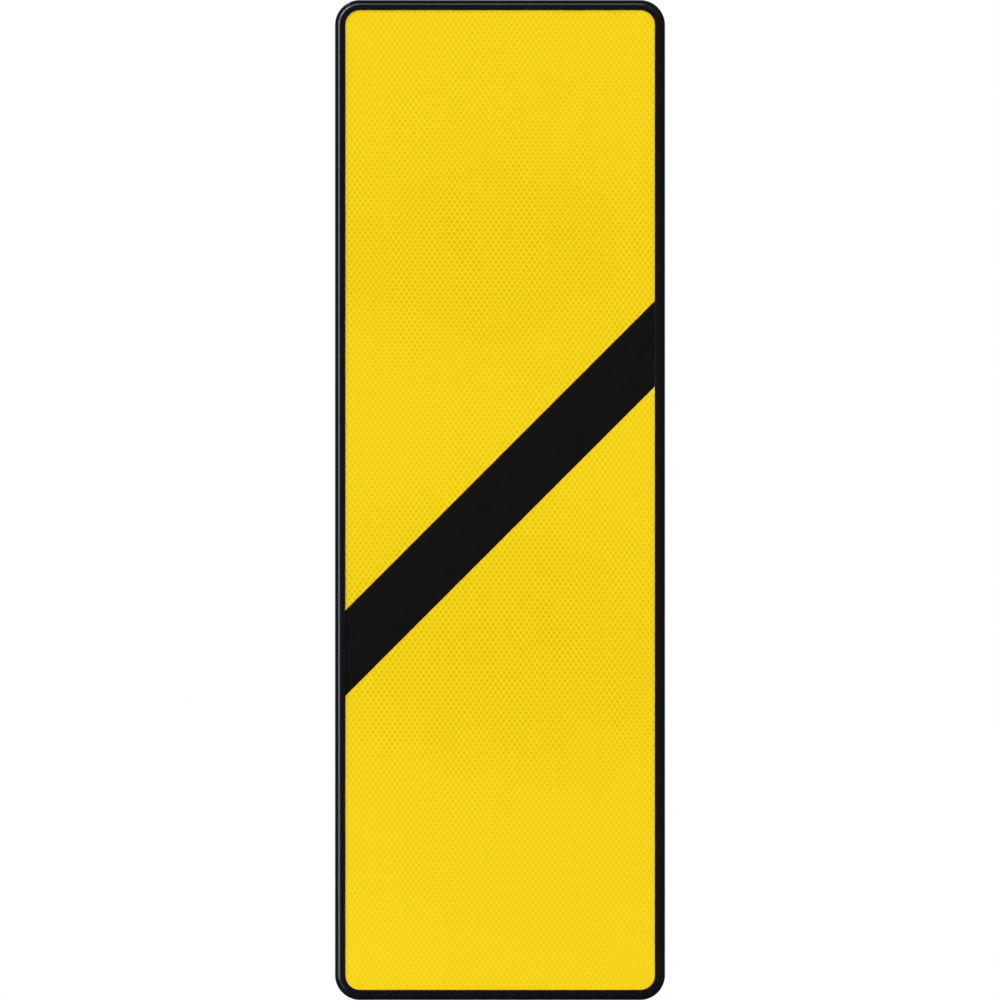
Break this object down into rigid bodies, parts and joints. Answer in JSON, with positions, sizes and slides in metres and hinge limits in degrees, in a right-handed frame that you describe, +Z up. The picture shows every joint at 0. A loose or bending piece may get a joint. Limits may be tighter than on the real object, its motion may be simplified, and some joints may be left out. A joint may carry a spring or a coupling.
{
  "type": "warning beacon board",
  "caption": "Upright rectangular warning board with a yellow reflective face, a black diagonal stripe and a black rim, carried on slotted rear rails by clamps for a tubular post.",
  "frame": {"origin": "on the post's axis at mid-height of the lower post clamp", "axes": "+Z up along the post, -Y the way the yellow face looks, +X to the right seen from the front"},
  "size_m": [0.33, 0.0883, 1],
  "materials": {
    "yellow_sheeting": "yellow prismatic reflective film with a fine staggered lattice",
    "black_film": "black overlay film, low gloss",
    "black_rim": "black coat on extruded aluminium",
    "plate_aluminium": "rolled mill finish",
    "rail_aluminium": "extruded mill finish with drawn lines",
    "clamp_aluminium": "extruded and tumbled",
    "galvanised_steel": "hot-dip zinc with a soft spangle",
    "zinc_fasteners": "bright zinc plate",
    "cap_plastic": "black moulded plastic"
  },
  "bodies": {
    "board": {"sign_plate": "plate_aluminium", "reflective_sheet": "yellow_sheeting", "diagonal_stripe": "black_film", "edge_profile": "black_rim", "profile_joiner": "plate_aluminium", "joiner_screws": "zinc_fasteners"},
    "lower_rail_set": {"lower_rail": "rail_aluminium", "lower_rail_end_caps": "cap_plastic", "lower_left_rim_clamp": "galvanised_steel", "lower_right_rim_clamp": "galvanised_steel", "lower_rim_clamp_bolts": "zinc_fasteners", "lower_rim_clamp_washers": "zinc_fasteners"},
    "lower_saddle_set": {"lower_post_saddle": "clamp_aluminium", "lower_post_clamp_bolts": "zinc_fasteners"},
    "lower_strap_set": {"lower_post_strap": "clamp_aluminium", "lower_post_clamp_washers": "zinc_fasteners"},
    "lower_left_nut": {"lower_left_clamp_nut": "zinc_fasteners"},
    "lower_right_nut": {"lower_right_clamp_nut": "zinc_fasteners"},
    "upper_rail_set": {"upper_rail": "rail_aluminium", "upper_rail_end_caps": "cap_plastic", "upper_left_rim_clamp": "galvanised_steel", "upper_right_rim_clamp": "galvanised_steel", "upper_rim_clamp_bolts": "zinc_fasteners", "upper_rim_clamp_washers": "zinc_fasteners"},
    "upper_saddle_set": {"upper_post_saddle": "clamp_aluminium", "upper_post_clamp_bolts": "zinc_fasteners"},
    "upper_strap_set": {"upper_post_strap": "clamp_aluminium", "upper_post_clamp_washers": "zinc_fasteners"},
    "upper_left_nut": {"upper_left_clamp_nut": "zinc_fasteners"},
    "upper_right_nut": {"upper_right_clamp_nut": "zinc_fasteners"}
  },
  "joints": [
    {"name": "lower_rail_height", "type": "slide", "parent": "board", "child": "lower_rail_set", "axis": [0, 0, 1], "range_m": [-0.15, 0.25]},
    {"name": "lower_clamp_shift", "type": "slide", "parent": "lower_rail_set", "child": "lower_saddle_set", "axis": [1, 0, 0], "range_m": [-0.08, 0.08]},
    {"name": "lower_strap_opening", "type": "slide", "parent": "lower_saddle_set", "child": "lower_strap_set", "axis": [0, 1, 0], "range_m": [0, 0.006]},
    {"name": "lower_left_nut_turn", "type": "hinge", "parent": "lower_strap_set", "child": "lower_left_nut", "pos_m": [-0.038, 0.0106, 0], "axis": [0, 1, 0], "range_deg": [0, 1728.1]},
    {"name": "lower_right_nut_turn", "type": "hinge", "parent": "lower_strap_set", "child": "lower_right_nut", "pos_m": [0.038, 0.0106, 0], "axis": [0, 1, 0], "range_deg": [0, 1728.1]},
    {"name": "upper_rail_height", "type": "slide", "parent": "board", "child": "upper_rail_set", "axis": [0, 0, 1], "range_m": [-0.25, 0.15]},
    {"name": "upper_clamp_shift", "type": "slide", "parent": "upper_rail_set", "child": "upper_saddle_set", "axis": [1, 0, 0], "range_m": [-0.08, 0.08]},
    {"name": "upper_strap_opening", "type": "slide", "parent": "upper_saddle_set", "child": "upper_strap_set", "axis": [0, 1, 0], "range_m": [0, 0.006]},
    {"name": "upper_left_nut_turn", "type": "hinge", "parent": "upper_strap_set", "child": "upper_left_nut", "pos_m": [-0.038, 0.0106, 0.6], "axis": [0, 1, 0], "range_deg": [0, 1728.1]},
    {"name": "upper_right_nut_turn", "type": "hinge", "parent": "upper_strap_set", "child": "upper_right_nut", "pos_m": [0.038, 0.0106, 0.6], "axis": [0, 1, 0], "range_deg": [0, 1728.1]}
  ],
  "couplings": [
    {"joint": "lower_left_nut_turn", "follows": "lower_strap_opening", "rad_per_m": 5026.5},
    {"joint": "lower_right_nut_turn", "follows": "lower_strap_opening", "rad_per_m": 5026.5},
    {"joint": "upper_left_nut_turn", "follows": "upper_strap_opening", "rad_per_m": 5026.5},
    {"joint": "upper_right_nut_turn", "follows": "upper_strap_opening", "rad_per_m": 5026.5}
  ]
}
